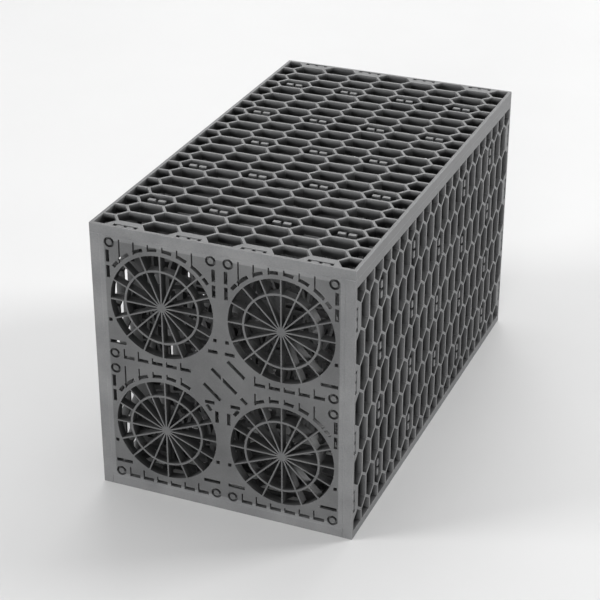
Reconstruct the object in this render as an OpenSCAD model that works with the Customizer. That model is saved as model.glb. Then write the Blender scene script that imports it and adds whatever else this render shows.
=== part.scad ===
// Soakaway crate: a modular underground tank put together from flat moulded plates.
// Millimetres. Origin at the middle of the bottom. X across, Y along the length, Z up, inlet end at -Y.

/* [Crate] */
// overall width
crate_w = 400; // [390:1:410]
// overall length
crate_l = 720; // [700:2:740]
// overall height
crate_h = 430; // [424:1:436]

/* [Large plates] */
// thickness of the top, bottom and side plates
plate_t = 15; // [14:1:17]
// depth of the honeycomb ribs, from the outer face
rib_depth = 13; // [8:0.5:14]
// width of the ribs between honeycomb cells
cell_rib = 3.8; // [3.4:0.2:4.6]
// how far the ends of a cell come to a point
cell_point = 6; // [4:0.5:7]
// solid strip along the long edges of the top plate
edge_strip = 4.8; // [4:0.2:6]
// solid strip along the long edges of a side plate
side_strip = 12.3; // [11:0.1:14]
// solid strip along the long edges of the bottom plate
bottom_strip = 9; // [8:0.5:9.5]
// solid strip along the ends of every large plate
end_strip = 3; // [2.5:0.5:4]
// thickness of the floor of a cell that holds a tab
land_t = 4; // [3:0.5:6]
// play between the bottom plate and each side plate
bottom_play = 0.4; // [0.2:0.1:0.8]

/* [Small plates] */
// thickness of the end plates and the inner plates
small_t = 14; // [13:1:15]
// solid rim at the left and right
side_rim = 9; // [8:0.5:10]
// solid rim at the top and bottom
end_rim = 4; // [3.5:0.5:5]
// wall of each oval
oval_wall = 3.4; // [3:0.2:4]
// height of the cut-off ovals in the first and last row
last_rise = 23; // [21:0.5:25]
// thickness of the bowed bars that cross each row
bar_wall = 3.4; // [3:0.2:4]
// radius of the bowed bars
bar_r = 1000; // [950:10:1100]
// half the spacing of the two bowed bars of a row, at the middle of the plate
bar_gap = 2; // [1.8:0.1:2.2]
// clear distance between a bar and the gaps between ovals
gap_clear = 1; // [0.8:0.1:1.5]

/* [Tabs] */
// width of one prong of a tab
prong_w = 11; // [9:0.5:12]
// thickness of a prong
prong_t = 6; // [5:0.5:7]
// distance of each prong from the middle of its tab
prong_off = 8; // [7.5:0.5:9]
// how far the prong stays under the outer face
prong_short = 1; // [0.5:0.5:2]
// play between prong and slot on each side
prong_play = 0.3; // [0.2:0.1:0.5]
// width of the slot that takes both prongs
slot_w = 38; // [36:1:39]

/* [Knock-outs] */
// middle of a knock-out from the middle of the plate, across
knock_x = 91.3; // [90:0.1:92]
// middle of a knock-out from the middle of the plate, upwards
knock_z = 101; // [99:0.5:102]
// radius of the large ring, middle of its wall
ring_large = 81.9; // [81.5:0.1:82.3]
// radius of the small ring, middle of its wall
ring_small = 56.8; // [55:0.2:59]
// wall of both rings
ring_wall = 3.2; // [2.8:0.2:4]
// width of a spoke
spoke_w = 2.2; // [2:0.2:3]
// radius of the hub
hub_r = 4.8; // [4:0.2:7]

/* [Web around the knock-outs] */
// thickness of the web
web_t = 4; // [3:0.5:6]
// width of the slots
web_slot = 5.4; // [4.6:0.2:5.6]
// width of the upright strokes of the marks
stroke_w = 2.2; // [1.8:0.2:3]
// greatest height of the strokes under a knock-out
stroke_h = 16; // [12:0.5:18]
// clear distance between a large ring and the slots
ring_clear = 3.2; // [2.6:0.2:3.6]
// spacing of the marks in a row
mark_step = 22.5; // [22:0.5:23]
// left side of the first mark from the middle of the knock-out
mark_first = -64; // [-66:0.5:-62]
// length of the bowed foot of a mark above a knock-out
foot_l = 15; // [12:0.5:16]
// length of the straight foot of a mark under a knock-out
dash_l = 17; // [15:0.5:18]
// length of a slot beside the rim
edge_slot_l = 19; // [16:0.5:20]
// start of the slots beside the rim, above the middle of the knock-out
edge_slot_z = 33; // [32:0.5:34]
// height of the corner slots under the middle of the knock-out
corner_slot_z = 72; // [70:0.5:74]
// length of a corner slot
corner_slot_l = 26; // [22:1:27]
// height of the square holes under the middle of the knock-out
dot_z = 37; // [36:0.5:40]
// first angle of the bowed slots beside the marks above a knock-out
bow_from = 35; // [34.5:0.5:37]
// last angle of the bowed slots beside the marks above a knock-out
bow_to = 42; // [40:0.5:42.5]
// width of the upright rib in the middle
mid_rib = 3; // [2.6:0.2:4]

/* [Bosses of the web] */
// distance of a round boss from the edges of the field around a knock-out
boss_in = 6.5; // [6:0.1:8]
// radius of a boss
boss_r = 9.6; // [9:0.1:10]
// depth of a boss
boss_depth = 9; // [7:0.5:11]
// inner radius of the groove in a boss
groove_in = 4.4; // [4:0.2:5]
// outer radius of the groove in a boss
groove_out = 8; // [7.5:0.1:8.1]
// depth of the groove in a boss
groove_depth = 6; // [5:0.5:8]

/* [Centre of the web] */
// slope of the slanted slots
slant = -41; // [-45:1:-38]
// distance between the slanted slots
slant_gap = 29; // [28:0.5:30]
// distance of the middle slanted slot from the middle of the plate
slant_shift = 5; // [4:0.5:6]
// length of the middle slanted slot
slant_mid_l = 50; // [46:1:54]
// length of the slanted slots on both sides of it
slant_side_l = 34; // [30:1:38]
// length of the short slot that carries on the middle one
slant_short_l = 12; // [10:0.5:13]
// distance of the short slot along the middle one
slant_short_at = 40.5; // [39:0.5:41]
// length of the cross dashes
cross_l = 15; // [12:0.5:15.5]
// upper cross dashes from the middle of the plate, across
cross_x = 13; // [12:0.5:13.5]
// upper cross dashes from the middle of the plate, upwards
cross_z = 48; // [47:0.5:50]
// lower cross dashes from the middle of the plate, across
cross_low_x = 20; // [18:0.5:20.5]
// lower cross dashes from the middle of the plate, downwards
cross_low_z = 36; // [34:0.5:37]

/* [Hidden] */
$fn = 48;
plate_color = [0.27, 0.27, 0.27];

// Plate sizes
side_h = crate_h - plate_t;
inner_w = crate_w - 2 * plate_t;
inner_h = crate_h - 2 * plate_t;
bottom_w = inner_w - 2 * bottom_play;
lattice_w = inner_w - 2 * side_rim;
lattice_h = inner_h - 2 * end_rim;

// Honeycomb; the columns of cells stand closer or wider with the width of their plate
rows = 21;
columns = 8;
last_column = columns / 2 - 1;
top_pitch = (crate_w - 2 * edge_strip) / columns;
side_pitch = (side_h - 2 * side_strip) / columns;
half_row = (crate_l / 2 - end_strip) / rows;
cell_slope = sqrt(4 * cell_point * cell_point + half_row * half_row);
back_depth = plate_t - rib_depth;

// Lines on which a small plate can stand, in half rows from the middle
odd_lines = [7, 15];
even_lines = [0, 12];
second_line = odd_lines[0] * half_row;
outer_line = odd_lines[1] * half_row;
end_line = (crate_l - small_t) / 2;

// Columns of the tabs: four on a common small plate, three on the one in the middle
four_tabs = [-3, -1, 1, 3];
three_tabs = [-2, 0, 2];
prong_h = plate_t - prong_short;
prong_root = end_rim / 2;
slot_t = prong_t + 2 * prong_play;

// Ovals
oval_rise = (lattice_h / 2 - last_rise) / 2;
oval_a = lattice_w / 16;
oval_b = oval_rise / sqrt(3);
hole_a = oval_a - oval_wall;
hole_b = oval_b - oval_wall;
cut_angle = asin(last_rise / hole_b);
oval_steps = 8;
bar_steps = 2;
gap_steps = 2;

// Field of the web around one knock-out, measured from its middle
field_w = lattice_w / 2 - knock_x;
field_h = lattice_h / 2 - knock_z;
ring_free = ring_large + ring_wall / 2 + ring_clear;
mark_count = 6;
bow_steps = 3;

function odd(n) = abs(n) % 2 == 1;

// A cell has a floor for a tab on the lines where a small plate can stand.
function is_land(c, r) = len([for (l = odd(c) ? odd_lines : even_lines) if (l == abs(r)) l]) > 0;

// Corners of a cell whose walls stand back by inset from the middle of the ribs
function cell_points(pitch, inset) =
    let (h = half_row - inset,
        tip = pitch / 2 + cell_point - inset * cell_slope / half_row,
        cor = tip - 2 * cell_point * h / half_row)
            [[tip, 0], [cor, h], [-cor, h], [-tip, 0], [-cor, -h], [cor, -h]];

// The half of a cell on the left of its middle
function half_cell_points(pitch, inset) =
    let (p = cell_points(pitch, inset))
        [[0, p[5][1]], [0, p[1][1]], p[2], p[3], p[4]];

// Children at every open cell, or at every cell with a floor
module at_cells(pitch, land) {
    for (c = [-last_column : last_column])
        for (r = [-rows + 1 : rows - 1])
            if (odd(c) == odd(r) && is_land(c, r) == land)
                translate([c * pitch, r * half_row])
                    children();
}

// Children at the tabs of the two end plates
module at_end_tabs(pitch) {
    for (c = four_tabs)
        for (s = [-1, 1])
            translate([c * pitch, s * end_line])
                children();
}

module edge_cells_2d(pitch) {
    for (a = [0, 180])
        rotate(a)
            for (r = [-rows + 1 : 2 : rows - 1])
                translate([columns / 2 * pitch, r * half_row])
                    polygon(half_cell_points(pitch, cell_rib / 2));
}

// Ribs, which are less deep than the plate is thick
module ribs_2d(width, pitch, half_cells) {
    difference() {
        square([width, crate_l], center = true);
        at_cells(pitch, false)
            polygon(cell_points(pitch, cell_rib / 2));
        if (half_cells)
            edge_cells_2d(pitch);
    }
}

// Border, cells with a floor and end blocks, which reach the inner face
module back_2d(width, pitch, strip) {
    difference() {
        square([width, crate_l], center = true);
        square([width - 2 * strip, crate_l - 2 * end_strip], center = true);
    }
    at_cells(pitch, true)
        polygon(cell_points(pitch, -cell_rib / 2));
    at_end_tabs(pitch)
        square([slot_w + 2 * cell_rib, small_t], center = true);
}

// A large plate lies with its inner face at z = 0 and its outer face at z = plate_t.
module large_plate(width, pitch, strip, half_cells) {
    difference() {
        union() {
            translate([0, 0, back_depth])
                linear_extrude(rib_depth)
                    ribs_2d(width, pitch, half_cells);
            linear_extrude(back_depth)
                back_2d(width, pitch, strip);
        }
        at_cells(pitch, true)
            translate([0, 0, land_t])
                linear_extrude(plate_t)
                    polygon(cell_points(pitch, cell_rib / 2));
        at_cells(pitch, true)
            cube([slot_w, slot_t, 2 * plate_t], center = true);
        at_end_tabs(pitch)
            cube([slot_w, slot_t, 4 * plate_t], center = true);
    }
}

// Height of the middle of a bowed bar above the line of its row, and of its two sides
function bow(x) = bar_gap + x * x / (2 * bar_r);
function bar_top(x) = bow(x) + bar_wall / 2;
function bar_low(x) = bow(x) - bar_wall / 2;

// Angle on the oval where it meets the upper or lower side of the bar, found in n steps;
// s is 1 for the right end and -1 for the left end
function meet(cx, s, n = 4, t = 0) = n == 0 ? t :
    meet(cx, s, n - 1, asin(bar_top(cx + s * hole_a * cos(t)) / hole_b));
function meet_low(cx, s, n = 4, t = 0) = n == 0 ? t :
    meet_low(cx, s, n - 1, asin(bar_low(cx + s * hole_a * cos(t)) / hole_b));

// Points along an oval and along the two sides of a bar
function oval_x(cx, t) = cx + hole_a * cos(t);
function arc(cx, t0, t1, n) =
    [for (i = [0 : n]) let (t = t0 + (t1 - t0) * i / n) [oval_x(cx, t), hole_b * sin(t)]];
function along(x0, x1, n) =
    [for (i = [1 : n - 1]) let (x = x0 + (x1 - x0) * i / n) [x, bar_top(x)]];
function along_low(x0, x1, n, s) =
    [for (i = [0 : n]) let (x = x0 + (x1 - x0) * i / n) [x, s * bar_low(x)]];

// Hole above the bars of one oval, whole
function upper_hole(cx) = let (r = meet(cx, 1), l = 180 - meet(cx, -1))
    concat(arc(cx, r, l, oval_steps), along(oval_x(cx, l), oval_x(cx, r), bar_steps));

// The same hole cut off by the rim, for the last row
function cut_hole(cx) = let (r = meet(cx, 1), l = 180 - meet(cx, -1))
    concat(arc(cx, r, cut_angle, 2), arc(cx, 180 - cut_angle, l, 2),
        along(oval_x(cx, l), oval_x(cx, r), bar_steps));

// The half hole against the right rim
function rim_hole(cx) = let (l = 180 - meet(cx, -1))
    concat(arc(cx, 90, l, oval_steps / 2), along(oval_x(cx, l), cx, 2), [[cx, bar_top(cx)]]);

// Hole between the two bars of one oval
function mid_hole(cx) = let (r = oval_x(cx, meet_low(cx, 1)), l = 2 * cx - oval_x(cx, meet_low(cx, -1)))
    concat(along_low(l, r, 3, -1), along_low(r, l, 3, 1));
function mid_rim_hole(cx) = let (l = 2 * cx - oval_x(cx, meet_low(cx, -1)))
    concat(along_low(l, cx, 2, -1), along_low(cx, l, 2, 1));

// Gap between three ovals that touch; inset keeps its corners clear of the bars
function gap_inset(x) = max(0.04, sqrt(1 + pow((bar_top(x) + gap_clear) / oval_b, 2)) - 1);
function gap_side(k, d) = let (e = acos(1 / (1 + d)))
    [for (i = [0 : gap_steps - 1])
        let (t = e + (60 - 2 * e) * i / gap_steps,
            x = (1 + d) * cos(t) - 1,
            y = (1 + d) * sin(t) - 1 / sqrt(3))
                [x * cos(120 * k) + y * sin(120 * k), y * cos(120 * k) - x * sin(120 * k) + 1 / sqrt(3)]];
function gap_points(x) =
    [for (k = [0 : 2]) for (p = gap_side(k, gap_inset(x))) [oval_a * p[0], oval_b * p[1]]];

// Holes above the bars of one row, on both sides of the middle; a shifted row has no oval there
module row_holes_2d(shifted, last_row) {
    for (k = [0 : 4])
        let (cx = (shifted ? 2 * k + 1 : 2 * k) * oval_a)
            if (cx < lattice_w / 2 - oval_a / 2)
                for (m = cx == 0 ? [0] : [0, 1])
                    mirror([m, 0, 0])
                        polygon(last_row ? cut_hole(cx) : upper_hole(cx));
    if (!shifted && !last_row)
        for (m = [0, 1])
            mirror([m, 0, 0])
                polygon(rim_hole(lattice_w / 2));
}

// Holes between the bars of one row, where the bars stand apart
module mid_holes_2d(shifted) {
    for (k = [1 : 3])
        let (cx = (shifted ? 2 * k + 1 : 2 * k) * oval_a)
            if (cx > 2.5 * oval_a)
                for (m = [0, 1])
                    mirror([m, 0, 0])
                        polygon(mid_hole(cx));
    if (!shifted)
        for (m = [0, 1])
            mirror([m, 0, 0])
                polygon(mid_rim_hole(lattice_w / 2));
}

// Gaps above one row, between the ovals of this row and the next
module gaps_2d(shifted) {
    for (k = [0 : 3])
        let (x = (shifted ? 2 * k : 2 * k + 1) * oval_a)
            for (s = x == 0 ? [1] : [1, -1])
                translate([s * x, 0])
                    polygon(gap_points(x));
}

module lattice_2d() {
    difference() {
        square([inner_w, inner_h], center = true);
        for (n = [-2 : 2])
            translate([0, n * oval_rise])
                mid_holes_2d(odd(n));
        for (n = [-2 : 2])
            for (m = [0, 1])
                translate([0, n * oval_rise])
                    mirror([0, m, 0])
                        row_holes_2d(odd(n), n == (m == 0 ? 2 : -2));
        for (n = [-2 : 2])
            for (m = [0, 1])
                if (n != (m == 0 ? 2 : -2))
                    translate([0, n * oval_rise])
                        mirror([0, m, 0])
                            gaps_2d(odd(n));
    }
}

// Two prongs that stand on an edge and point along +y
module tab() {
    for (s = [-1, 1])
        translate([s * prong_off, (prong_h - prong_root) / 2, small_t / 2])
            cube([prong_w, prong_h + prong_root, prong_t], center = true);
}

// Tabs on all four edges of a small plate, whose middle is the origin
module tabs(places) {
    side_shift = (side_h - crate_h) / 2;
    for (p = places) {
        translate([p * top_pitch, inner_h / 2, 0])
            tab();
        translate([p * top_pitch, -inner_h / 2, 0])
            rotate(180)
                tab();
        translate([inner_w / 2, p * side_pitch + side_shift, 0])
            rotate(-90)
                tab();
        translate([-inner_w / 2, p * side_pitch + side_shift, 0])
            rotate(90)
                tab();
    }
}

module lattice_plate(places) {
    linear_extrude(small_t)
        lattice_2d();
    tabs(places);
}

// Ribs of one knock-out: two rings, a hub and bars right across it
module knock_out_2d() {
    for (r = [ring_large, ring_small])
        difference() {
            circle(r = r + ring_wall / 2);
            circle(r = r - ring_wall / 2);
        }
    circle(r = hub_r);
    for (k = [0 : 7])
        rotate(22.5 * k)
            square([2 * ring_large, spoke_w], center = true);
}

module at_knock_outs() {
    for (x = [-1, 1])
        for (z = [-1, 1])
            translate([x * knock_x, z * knock_z])
                children();
}

// Height above the middle of a knock-out at which the slots beside its ring start
function over_ring(x) = sqrt(max(0, ring_free * ring_free - x * x));

// Bowed slot outside a large ring, between two angles
module bow_slot_2d(first, last) {
    step = (last - first) / bow_steps;
    inner = [for (i = [0 : bow_steps]) let (a = first + i * step) ring_free * [cos(a), sin(a)]];
    outer = [for (i = [0 : bow_steps]) let (a = last - i * step) (ring_free + web_slot) * [cos(a), sin(a)]];
    polygon(concat(inner, outer));
}

// Row of marks above a knock-out, each an upright stroke with a bowed foot to the right
module upper_marks_2d(first, last) {
    for (i = [first : last])
        let (x = mark_first + i * mark_step, r = ring_free + web_slot / 2) {
            bow_slot_2d(acos((x + foot_l) / r), acos(x / r));
            translate([x, over_ring(x)])
                square([stroke_w, max(web_slot, field_h - over_ring(x))]);
        }
}

// Row of marks under a knock-out, each an upright stroke with a straight foot to the right
module lower_marks_2d(first, last) {
    for (i = [first : last])
        let (x = mark_first + i * mark_step)
            translate([x, -field_h]) {
                square([dash_l, web_slot]);
                square([stroke_w, max(web_slot, min(stroke_h, field_h - over_ring(x)))]);
            }
}

// Slots at the right of a knock-out: a bowed one, one or two beside the rim and a square hole
module side_slots_2d(count) {
    bow_slot_2d(bow_from, bow_to);
    for (k = [0 : count - 1])
        translate([field_w - web_slot, edge_slot_z + k * (edge_slot_l + web_slot)])
            square([web_slot, edge_slot_l]);
    translate([field_w - web_slot, -dot_z])
        square([web_slot, web_slot]);
}

// Slot in the lower right corner of the field
module corner_slot_2d() {
    translate([field_w - corner_slot_l, -corner_slot_z])
        square([corner_slot_l, web_slot]);
}

module slanted_slot_2d(along, side, length) {
    rotate(slant)
        translate([along, side])
            square([length, web_slot], center = true);
}

module cross_dashes_2d(x, z) {
    for (s = [-1, 1])
        translate([s * x, z])
            square([cross_l, web_slot], center = true);
}

module centre_slots_2d() {
    slanted_slot_2d(0, slant_shift, slant_mid_l);
    slanted_slot_2d(slant_short_at, slant_shift, slant_short_l);
    for (s = [-1, 1])
        slanted_slot_2d(0, slant_shift + s * slant_gap, slant_side_l);
    cross_dashes_2d(cross_x, cross_z);
    cross_dashes_2d(cross_low_x, -cross_low_z);
}

// All slots of the web; the rows and columns next to the centre leave out their innermost mark
module slots_2d() {
    for (x = [-1, 1])
        for (z = [-1, 1])
            for (m = [0, 1])
                translate([x * knock_x, z * knock_z])
                    mirror([m, 0, 0])
                        side_slots_2d(z < 0 && m == (x > 0 ? 1 : 0) ? 1 : 2);
    for (x = [-1, 1]) {
        first = x < 0 ? 0 : 1;
        last = mark_count - 2 + first;
        translate([x * knock_x, knock_z]) {
            upper_marks_2d(0, mark_count - 1);
            lower_marks_2d(first, last);
            mirror([x < 0 ? 1 : 0, 0, 0])
                corner_slot_2d();
        }
        translate([x * knock_x, -knock_z]) {
            upper_marks_2d(first, last);
            lower_marks_2d(0, mark_count - 1);
            for (m = [0, 1])
                mirror([m, 0, 0])
                    corner_slot_2d();
        }
    }
    centre_slots_2d();
}

module web_2d() {
    difference() {
        square([inner_w, inner_h], center = true);
        at_knock_outs()
            circle(r = ring_large);
        slots_2d();
    }
}

// Children in the corners of the field around each knock-out, but not next to the plate's centre
module at_bosses() {
    for (x = [-1, 1])
        for (z = [-1, 1])
            translate([x * knock_x, z * knock_z])
                for (i = [-1, 1])
                    for (j = [-1, 1])
                        if (i == x || j == z)
                            translate([i * (field_w - boss_in), j * (field_h - boss_in)])
                                children();
}

module inlet_solid() {
    linear_extrude(small_t) {
        difference() {
            square([inner_w, inner_h], center = true);
            square([lattice_w, lattice_h], center = true);
        }
        at_knock_outs()
            knock_out_2d();
        square([mid_rib, inner_h], center = true);
    }
    translate([0, 0, small_t - web_t])
        linear_extrude(web_t)
            web_2d();
    translate([0, 0, small_t - boss_depth])
        at_bosses()
            cylinder(r = boss_r, h = boss_depth);
}

module inlet_plate() {
    difference() {
        inlet_solid();
        translate([0, 0, small_t - groove_depth])
            at_bosses()
                difference() {
                    cylinder(r = groove_out, h = 2 * groove_depth);
                    cylinder(r = groove_in, h = 5 * groove_depth, center = true);
                }
    }
    tabs(four_tabs);
}

// Stands a small plate up with its front face at y = front
module stand(front) {
    translate([0, front + small_t, crate_h / 2])
        rotate([90, 0, 0])
            children();
}

module top_plate() {
    color(plate_color)
        translate([0, 0, crate_h - plate_t])
            large_plate(crate_w, top_pitch, edge_strip, true);
}

module bottom_plate() {
    color(plate_color)
        translate([0, 0, plate_t])
            rotate([0, 180, 0])
                large_plate(bottom_w, top_pitch, bottom_strip, false);
}

module right_side_plate() {
    color(plate_color)
        translate([inner_w / 2, 0, side_h / 2])
            rotate([0, 90, 0])
                large_plate(side_h, side_pitch, side_strip, true);
}

module left_side_plate() {
    color(plate_color)
        translate([-inner_w / 2, 0, side_h / 2])
            rotate([0, -90, 0])
                large_plate(side_h, side_pitch, side_strip, true);
}

module inlet_end_plate() {
    color(plate_color)
        stand(-crate_l / 2)
            inlet_plate();
}

module rear_end_plate() {
    color(plate_color)
        stand(crate_l / 2 - small_t)
            lattice_plate(four_tabs);
}

module inner_plate(line, places) {
    color(plate_color)
        stand(line - small_t / 2)
            lattice_plate(places);
}

top_plate();
bottom_plate();
left_side_plate();
right_side_plate();
inlet_end_plate();
rear_end_plate();
inner_plate(-outer_line, four_tabs);  // inner_plate_1
inner_plate(-second_line, four_tabs);  // inner_plate_2
inner_plate(0, three_tabs);  // inner_plate_3
inner_plate(second_line, four_tabs);  // inner_plate_4
inner_plate(outer_line, four_tabs);  // inner_plate_5
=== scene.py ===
"""Studio scene of a soakaway crate: dark grey moulded plates on a pale floor, in soft light."""
import math

import bpy
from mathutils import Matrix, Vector


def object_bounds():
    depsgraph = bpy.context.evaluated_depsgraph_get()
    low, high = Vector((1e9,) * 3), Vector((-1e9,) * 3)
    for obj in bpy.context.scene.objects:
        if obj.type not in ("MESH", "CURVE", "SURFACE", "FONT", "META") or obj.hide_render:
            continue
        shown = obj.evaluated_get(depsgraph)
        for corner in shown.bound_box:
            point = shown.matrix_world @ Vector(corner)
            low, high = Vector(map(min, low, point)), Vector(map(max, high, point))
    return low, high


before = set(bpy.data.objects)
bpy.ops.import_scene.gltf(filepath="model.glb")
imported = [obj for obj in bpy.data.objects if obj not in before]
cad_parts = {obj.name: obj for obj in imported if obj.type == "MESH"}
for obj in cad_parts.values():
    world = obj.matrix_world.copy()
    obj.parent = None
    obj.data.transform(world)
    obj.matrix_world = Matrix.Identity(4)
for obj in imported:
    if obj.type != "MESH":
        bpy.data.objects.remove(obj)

cad_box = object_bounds()

# Camera: where the photograph was taken from, turned to the crate, with a lens that fills the frame
CAMERA_AT = Vector((0.911, -2.262, 1.448))
CAMERA_AIM = Vector((-0.022, -0.020, 0.179))
LENS_MM = 103.5
SENSOR_MM = 36.0
CLIP_NEAR = 0.05
CLIP_FAR = 100

# Edges of the mouldings
ROUNDED_PLATES = ("top_plate", "bottom_plate", "left_side_plate", "right_side_plate")
EDGE_RADIUS = 0.0004
EDGE_SEGMENTS = 2
EDGE_ANGLE = math.radians(40)
WELD_DISTANCE = 0.00002

# Plastic: colours and roughness of the faces and of the rounded edges; the rounded edges are painted
# lighter, a painted highlight
PLASTIC_DARK = (0.080, 0.081, 0.083, 1)
PLASTIC_LIGHT = (0.118, 0.119, 0.120, 1)
PLASTIC_ROUGHNESS = (0.42, 0.56)
EDGE_HIGHLIGHT_DARK = (0.12, 0.121, 0.123, 1)
EDGE_HIGHLIGHT_LIGHT = (0.18, 0.181, 0.182, 1)
EDGE_ROUGHNESS = (0.34, 0.46)

# Patterns of the plastic: clouds and specks of colour, fine grain and broad sinks
CLOUD = {"Scale": 14.0, "Detail": 4.0, "Roughness": 0.55}
SPECK = {"Scale": 420.0, "Detail": 2.0, "Roughness": 0.6}
GRAIN = {"Scale": 1400.0, "Detail": 2.0, "Roughness": 0.5}
SINK = {"Scale": 45.0, "Detail": 1.0, "Roughness": 0.4}
SPECK_SHARE = 0.35
COLOUR_SPAN = (0.36, 0.64)
GLOSS_SPAN = (0.3, 0.7)
GRAIN_BUMP = {"Strength": 0.18, "Distance": 0.0003}
SINK_BUMP = {"Strength": 0.12, "Distance": 0.0015}

# Painted shade: the plastic is painted darker with its depth under the crate's outer faces, paler in the
# outer skin and darkest farther inside, standing in for shade in recesses and the crate's interior
SHADE_START_DEPTH = 0.0012
FULL_SHADE_DEPTH = 0.0090
FULL_SHADE_TONE = 0.27

# Inlet plate: the field inside its border is darker than the border
BORDER_WIDTH = 0.0215
FIELD_BLEND = 0.0010
FIELD_TONE = 0.57

# Room
FLOOR_SIZE = 60.0
FLOOR_COLOUR = (0.60, 0.60, 0.60, 1)
FLOOR_PALER = 1.02
FLOOR_CLOUD = {"Scale": 3.0, "Detail": 3.0}
FLOOR_SPAN = (0.3, 0.7)
FLOOR_ROUGHNESS = 0.75
ROOM_COLOUR = (0.97, 0.985, 1.0, 1)
ROOM_LIGHT = 0.06

# Softboxes: place, width, height and power of each; all look at the middle of the crate
LIGHT_AIM = Vector((0.0, 0.0, 0.22))
SOFTBOXES = {
    "key_light": ((-11.2, -7.2, 4.4), 5.0, 4.0, 1600),
    "front_light": ((1.4, -8.8, 1.4), 3.2, 2.0, 720),
    "top_light": ((-0.3, 0.5, 4.5), 5.0, 5.0, 150),
    "sheen_light": ((-1.6, 6.4, 4.2), 6.0, 3.2, 264),
    "side_light": ((6.8, 5.2, 2.8), 3.2, 2.8, 800),
}


def new_material(name):
    """A material with a plain Principled shader, and its node tree."""
    material = bpy.data.materials.new(name)
    material.use_nodes = True
    tree = material.node_tree
    return material, tree, tree.nodes["Principled BSDF"]


def feed(tree, socket, term):
    """Links an output to a socket, or sets the socket to a fixed value."""
    if isinstance(term, bpy.types.NodeSocket):
        tree.links.new(term, socket)
    else:
        socket.default_value = term


def add_node(tree, kind, inputs):
    """A shader node with its input sockets fed by name."""
    node = tree.nodes.new(kind)
    for name, term in inputs.items():
        feed(tree, node.inputs[name], term)
    return node


def calculate(tree, kind, operation, *terms):
    """The result of one step of arithmetic, on numbers or on vectors."""
    node = tree.nodes.new(kind)
    node.operation = operation
    for socket, term in zip(node.inputs, terms):
        feed(tree, socket, term)
    return node.outputs[0]


def number_step(tree, operation, *terms):
    return calculate(tree, "ShaderNodeMath", operation, *terms)


def vector_step(tree, operation, *terms):
    return calculate(tree, "ShaderNodeVectorMath", operation, *terms)


def noise(tree, place, pattern):
    """A noise over the object's own coordinates."""
    return add_node(tree, "ShaderNodeTexNoise", {"Vector": place, **pattern}).outputs["Fac"]


def map_range(tree, value, source, target):
    """Maps a value from the source range onto the target range."""
    names = ("From Min", "From Max", "To Min", "To Max")
    node = add_node(tree, "ShaderNodeMapRange", dict(zip(names, source + target)))
    tree.links.new(value, node.inputs["Value"])
    return node.outputs["Result"]


def ramp(tree, value, span, dark, light):
    """A colour that runs from dark to light as the value runs over the span."""
    node = add_node(tree, "ShaderNodeValToRGB", {"Fac": value})
    for element, position, colour in zip(node.color_ramp.elements, span, (dark, light)):
        element.position = position
        element.color = colour
    return node.outputs["Color"]


def bump(tree, height, depth, normal=None):
    """A surface normal that follows a height."""
    node = add_node(tree, "ShaderNodeBump", {"Height": height, **depth})
    if normal is not None:
        tree.links.new(normal, node.inputs["Normal"])
    return node.outputs["Normal"]


def painted_shade_and_field_tone(tree, place, field_tone):
    """Painted shade by the plastic's depth under the crate's outer faces, times a darker tone inside a
    plate's border.
    """
    low, high = (Vector(corner) for corner in cad_box)
    offset = vector_step(tree, "SUBTRACT", place, (low + high) / 2)
    distance = vector_step(tree, "ABSOLUTE", offset)
    depth = vector_step(tree, "SUBTRACT", (high - low) / 2, distance)
    along = add_node(tree, "ShaderNodeSeparateXYZ", {"Vector": depth}).outputs
    rim = number_step(tree, "MINIMUM", along["X"], along["Z"])
    skin = number_step(tree, "MINIMUM", rim, along["Y"])
    # painted shade: darker with depth under the crate's outer faces
    painted_depth_shade = map_range(tree, skin, (SHADE_START_DEPTH, FULL_SHADE_DEPTH), (1.0, FULL_SHADE_TONE))
    border = (BORDER_WIDTH, BORDER_WIDTH + FIELD_BLEND)
    rim_tone = map_range(tree, rim, border, (1.0, field_tone))
    return number_step(tree, "MULTIPLY", painted_depth_shade, rim_tone)


def moulded_plastic(name, dark, light, roughness, field_tone=1.0):
    """Recycled plastic: cloudy colour with fine specks, an even grain, faint sinks and a satin gloss,
    darkened by painted shade with its depth inside the crate.
    """
    material, tree, shader = new_material(name)
    place = tree.nodes.new("ShaderNodeTexCoord").outputs["Object"]
    cloud = noise(tree, place, CLOUD)
    speck = noise(tree, place, SPECK)

    cloud_part = number_step(tree, "MULTIPLY", cloud, 1 - SPECK_SHARE)
    blend = number_step(tree, "MULTIPLY_ADD", speck, SPECK_SHARE, cloud_part)
    colour = ramp(tree, blend, COLOUR_SPAN, dark, light)
    # painted shade by depth, times the inlet field's darker tone
    tone = painted_shade_and_field_tone(tree, place, field_tone)
    shaded_colour = add_node(tree, "ShaderNodeVectorMath", {})
    shaded_colour.operation = "SCALE"
    feed(tree, shaded_colour.inputs[0], colour)
    feed(tree, shaded_colour.inputs["Scale"], tone)
    feed(tree, shader.inputs["Base Color"], shaded_colour.outputs["Vector"])

    feed(tree, shader.inputs["Roughness"], map_range(tree, cloud, GLOSS_SPAN, roughness))

    fine = bump(tree, noise(tree, place, GRAIN), GRAIN_BUMP)
    broad = bump(tree, noise(tree, place, SINK), SINK_BUMP, fine)
    feed(tree, shader.inputs["Normal"], broad)
    return material


def floor_paint(name):
    """Matt pale floor with a barely cloudy tone."""
    material, tree, shader = new_material(name)
    place = tree.nodes.new("ShaderNodeTexCoord").outputs["Object"]
    paler = tuple(min(1.0, c * FLOOR_PALER) for c in FLOOR_COLOUR[:3]) + (1,)
    colour = ramp(tree, noise(tree, place, FLOOR_CLOUD), FLOOR_SPAN, FLOOR_COLOUR, paler)
    feed(tree, shader.inputs["Base Color"], colour)
    shader.inputs["Roughness"].default_value = FLOOR_ROUGHNESS
    return material


def dress(plate, plastic):
    """Gives a plate its plastic."""
    plate.data.materials.clear()
    plate.data.materials.append(plastic)


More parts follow.
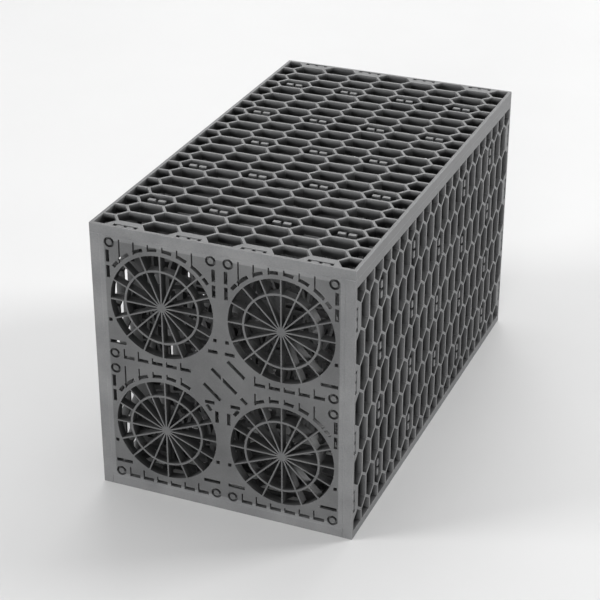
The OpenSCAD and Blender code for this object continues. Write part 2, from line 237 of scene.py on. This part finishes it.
def round_edges(plate, plastic):
    """Rounds a plate's edges and gives the rounded edges their plastic, painted lighter as a highlight."""
    plate.data.materials.append(plastic)
    weld = plate.modifiers.new("join_faces", "WELD")
    weld.merge_threshold = WELD_DISTANCE
    bevel = plate.modifiers.new("round_edges", "BEVEL")
    bevel.width = EDGE_RADIUS
    bevel.segments = EDGE_SEGMENTS
    bevel.limit_method = "ANGLE"
    bevel.angle_limit = EDGE_ANGLE
    bevel.use_clamp_overlap = False
    bevel.material = 1
    normals = plate.modifiers.new("even_normals", "WEIGHTED_NORMAL")
    normals.mode = "FACE_AREA"
    normals.keep_sharp = False


def add_floor():
    bpy.ops.mesh.primitive_plane_add(size=FLOOR_SIZE)
    floor = bpy.context.object
    floor.name = "floor"
    floor.data.materials.append(floor_paint("floor_paint"))


def turn(place, aim):
    """The rotation of a light or a camera that looks from place to aim."""
    return (aim - place).to_track_quat("-Z", "Y").to_euler()


def add_softbox(name, place, width, height, power):
    """An area light that looks at the crate."""
    data = bpy.data.lights.new(name, "AREA")
    data.shape = "RECTANGLE"
    data.size = width
    data.size_y = height
    data.energy = power
    light = bpy.data.objects.new(name, data)
    light.location = place
    light.rotation_euler = turn(Vector(place), LIGHT_AIM)
    bpy.context.scene.collection.objects.link(light)


def add_room_light():
    world = bpy.data.worlds.new("room")
    world.use_nodes = True
    background = world.node_tree.nodes["Background"]
    background.inputs["Color"].default_value = ROOM_COLOUR
    background.inputs["Strength"].default_value = ROOM_LIGHT
    bpy.context.scene.world = world


def add_camera():
    data = bpy.data.cameras.new("camera")
    data.sensor_width = SENSOR_MM
    data.lens = LENS_MM
    data.clip_start = CLIP_NEAR
    data.clip_end = CLIP_FAR
    camera = bpy.data.objects.new("camera", data)
    camera.location = CAMERA_AT
    camera.rotation_euler = turn(CAMERA_AT, CAMERA_AIM)
    bpy.context.scene.collection.objects.link(camera)
    bpy.context.scene.camera = camera


face_plastic = moulded_plastic("plate_plastic", PLASTIC_DARK, PLASTIC_LIGHT, PLASTIC_ROUGHNESS)
# the rounded edges get a lighter plastic: a painted highlight
edge_highlight_plastic = moulded_plastic("plate_edge_highlight", EDGE_HIGHLIGHT_DARK, EDGE_HIGHLIGHT_LIGHT, EDGE_ROUGHNESS)
inlet_plastic = moulded_plastic("inlet_plastic", PLASTIC_DARK, PLASTIC_LIGHT, PLASTIC_ROUGHNESS, FIELD_TONE)
for name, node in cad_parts.items():
    dress(node, inlet_plastic if name == "inlet_end_plate" else face_plastic)
    if name in ROUNDED_PLATES:
        round_edges(node, edge_highlight_plastic)

add_floor()
add_room_light()
for name, softbox in SOFTBOXES.items():
    add_softbox(name, *softbox)
add_camera()
bpy.context.scene.view_settings.view_transform = "Standard"
